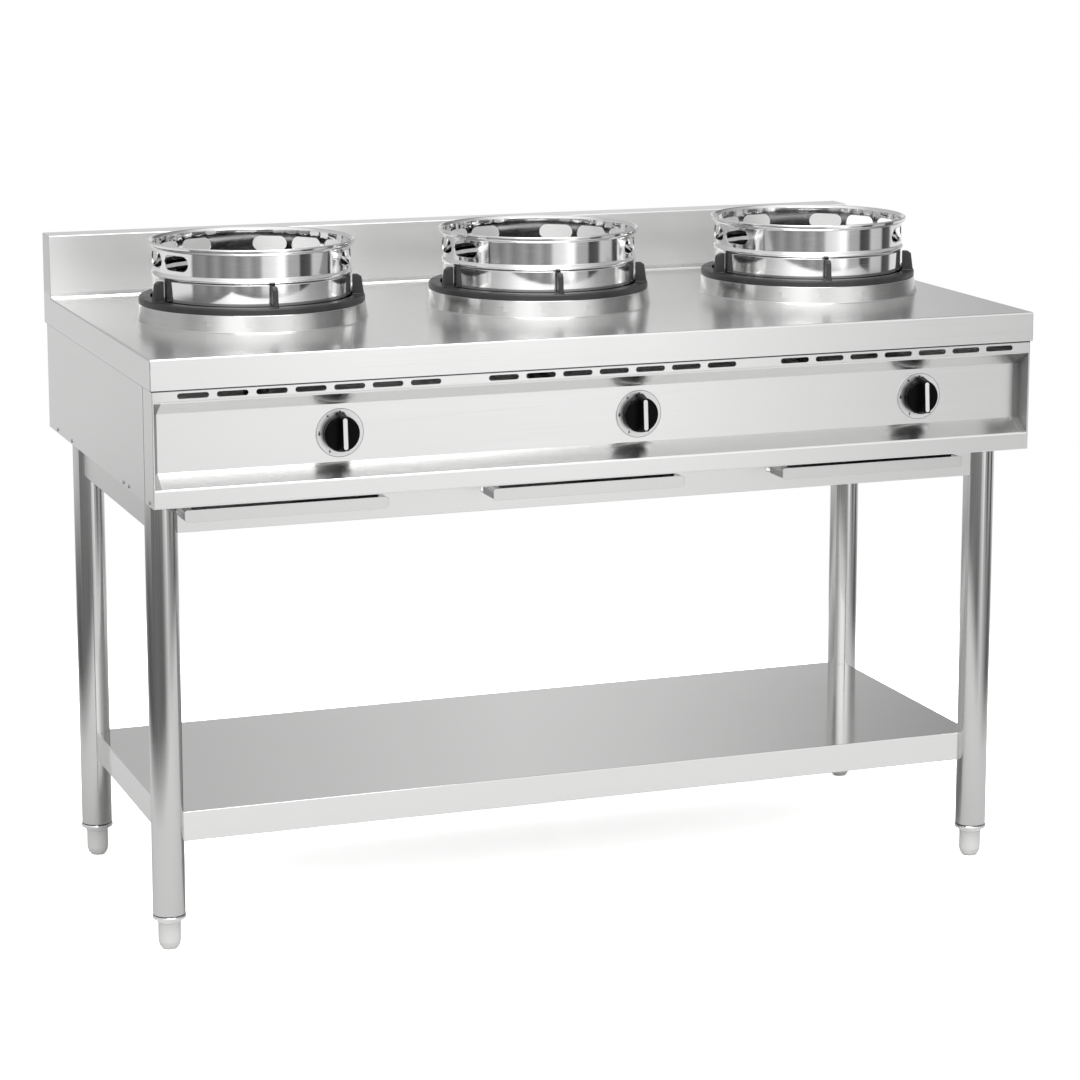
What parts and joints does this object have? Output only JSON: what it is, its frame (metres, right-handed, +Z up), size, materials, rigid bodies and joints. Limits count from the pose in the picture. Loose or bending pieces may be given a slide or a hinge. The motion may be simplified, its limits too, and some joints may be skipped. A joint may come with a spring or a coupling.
{
  "type": "wok range",
  "caption": "Freestanding gas wok range: burners in a row with lift-off rings, recessed control strip with knobs, drip trays, splashback, tubular legs and a low shelf.",
  "frame": {"origin": "on the floor under the middle of the range", "axes": "+X along the worktop to the cook's right, -Y towards the cook, +Z up"},
  "size_m": [1.4, 0.73, 1.022],
  "materials": {
    "worktop_steel": "satin stainless sheet",
    "casing_steel": "satin stainless sheet",
    "collar_steel": "spun and brushed stainless",
    "ring_chrome": "polished",
    "cast_iron": "plain casting",
    "brass": "machined",
    "zinc_fittings": "plated fittings",
    "knob_black": "moulded, slight sheen",
    "mark_white": "inlaid strip",
    "dial_silver": "satin anodised plate",
    "pipe_steel": "grey pipework",
    "stand_steel": "folded stainless channel",
    "shelf_steel": "bright stainless sheet",
    "tray_steel": "satin stainless sheet",
    "leg_steel": "polished stainless tube",
    "socket_chrome": "polished",
    "foot_plastic": "pale grey moulding"
  },
  "bodies": {
    "range": {"worktop": "worktop_steel", "fascia": "casing_steel", "control_panel": "casing_steel", "side_panel_left": "casing_steel", "side_panel_right": "casing_steel", "rear_panel": "casing_steel", "base_pan": "casing_steel", "collar_left": "collar_steel", "burner_head_left": "cast_iron", "mixer_tube_left": "cast_iron", "valve_left": "brass", "collar_middle": "collar_steel", "burner_head_middle": "cast_iron", "mixer_tube_middle": "cast_iron", "valve_middle": "brass", "collar_right": "collar_steel", "burner_head_right": "cast_iron", "mixer_tube_right": "cast_iron", "valve_right": "brass", "pilots": "zinc_fittings", "gas_manifold": "pipe_steel", "gas_inlet": "brass", "supply_pipes": "pipe_steel", "dial_plates": "dial_silver", "front_rail": "stand_steel", "rear_rail": "stand_steel", "side_rails": "stand_steel", "shelf": "shelf_steel", "tray_runners": "stand_steel", "leg_front_left": "leg_steel", "leg_front_right": "leg_steel", "leg_rear_left": "leg_steel", "leg_rear_right": "leg_steel", "leg_sockets": "socket_chrome"},
    "push_left": {"spring_seat_left": "zinc_fittings"},
    "control_left": {"knob_left": "knob_black", "knob_mark_left": "mark_white", "stem_left": "zinc_fittings"},
    "tray_left": {"drip_tray_left": "tray_steel"},
    "trivet_left": {"trivet_left": "cast_iron"},
    "wok_ring_left": {"wok_ring_left": "ring_chrome"},
    "push_middle": {"spring_seat_middle": "zinc_fittings"},
    "control_middle": {"knob_middle": "knob_black", "knob_mark_middle": "mark_white", "stem_middle": "zinc_fittings"},
    "tray_middle": {"drip_tray_middle": "tray_steel"},
    "trivet_middle": {"trivet_middle": "cast_iron"},
    "wok_ring_middle": {"wok_ring_middle": "ring_chrome"},
    "push_right": {"spring_seat_right": "zinc_fittings"},
    "control_right": {"knob_right": "knob_black", "knob_mark_right": "mark_white", "stem_right": "zinc_fittings"},
    "tray_right": {"drip_tray_right": "tray_steel"},
    "trivet_right": {"trivet_right": "cast_iron"},
    "wok_ring_right": {"wok_ring_right": "ring_chrome"},
    "foot_front_left": {"foot_front_left": "foot_plastic"},
    "foot_front_right": {"foot_front_right": "foot_plastic"},
    "foot_rear_left": {"foot_rear_left": "foot_plastic"},
    "foot_rear_right": {"foot_rear_right": "foot_plastic"}
  },
  "joints": [
    {"name": "left_control_push", "type": "slide", "parent": "range", "child": "push_left", "axis": [0, 1, 0], "range_m": [0, 0.003], "stiffness_N_per_m": 2500, "springref_m": -0.002},
    {"name": "left_control_turn", "type": "hinge", "parent": "push_left", "child": "control_left", "pos_m": [-0.41267, -0.3365, 0.77325], "axis": [0, -1, 0], "range_deg": [0, 150]},
    {"name": "left_tray_slide", "type": "slide", "parent": "range", "child": "tray_left", "axis": [0, -1, 0], "range_m": [0, 0.35]},
    {"name": "left_trivet_lift", "type": "slide", "parent": "range", "child": "trivet_left", "axis": [0, 0, 1], "range_m": [0, 0.12]},
    {"name": "left_wok_ring_lift", "type": "slide", "parent": "trivet_left", "child": "wok_ring_left", "axis": [0, 0, 1], "range_m": [0, 0.15]},
    {"name": "middle_control_push", "type": "slide", "parent": "range", "child": "push_middle", "axis": [0, 1, 0], "range_m": [0, 0.003], "stiffness_N_per_m": 2500, "springref_m": -0.002},
    {"name": "middle_control_turn", "type": "hinge", "parent": "push_middle", "child": "control_middle", "pos_m": [0.054, -0.3365, 0.77325], "axis": [0, -1, 0], "range_deg": [0, 150]},
    {"name": "middle_tray_slide", "type": "slide", "parent": "range", "child": "tray_middle", "axis": [0, -1, 0], "range_m": [0, 0.35]},
    {"name": "middle_trivet_lift", "type": "slide", "parent": "range", "child": "trivet_middle", "axis": [0, 0, 1], "range_m": [0, 0.12]},
    {"name": "middle_wok_ring_lift", "type": "slide", "parent": "trivet_middle", "child": "wok_ring_middle", "axis": [0, 0, 1], "range_m": [0, 0.15]},
    {"name": "right_control_push", "type": "slide", "parent": "range", "child": "push_right", "axis": [0, 1, 0], "range_m": [0, 0.003], "stiffness_N_per_m": 2500, "springref_m": -0.002},
    {"name": "right_control_turn", "type": "hinge", "parent": "push_right", "child": "control_right", "pos_m": [0.52067, -0.3365, 0.77325], "axis": [0, -1, 0], "range_deg": [0, 150]},
    {"name": "right_tray_slide", "type": "slide", "parent": "range", "child": "tray_right", "axis": [0, -1, 0], "range_m": [0, 0.35]},
    {"name": "right_trivet_lift", "type": "slide", "parent": "range", "child": "trivet_right", "axis": [0, 0, 1], "range_m": [0, 0.12]},
    {"name": "right_wok_ring_lift", "type": "slide", "parent": "trivet_right", "child": "wok_ring_right", "axis": [0, 0, 1], "range_m": [0, 0.15]},
    {"name": "front_left_foot_screw", "type": "slide", "parent": "range", "child": "foot_front_left", "axis": [0, 0, -1], "range_m": [0, 0.025]},
    {"name": "front_right_foot_screw", "type": "slide", "parent": "range", "child": "foot_front_right", "axis": [0, 0, -1], "range_m": [0, 0.025]},
    {"name": "rear_left_foot_screw", "type": "slide", "parent": "range", "child": "foot_rear_left", "axis": [0, 0, -1], "range_m": [0, 0.025]},
    {"name": "rear_right_foot_screw", "type": "slide", "parent": "range", "child": "foot_rear_right", "axis": [0, 0, -1], "range_m": [0, 0.025]}
  ]
}
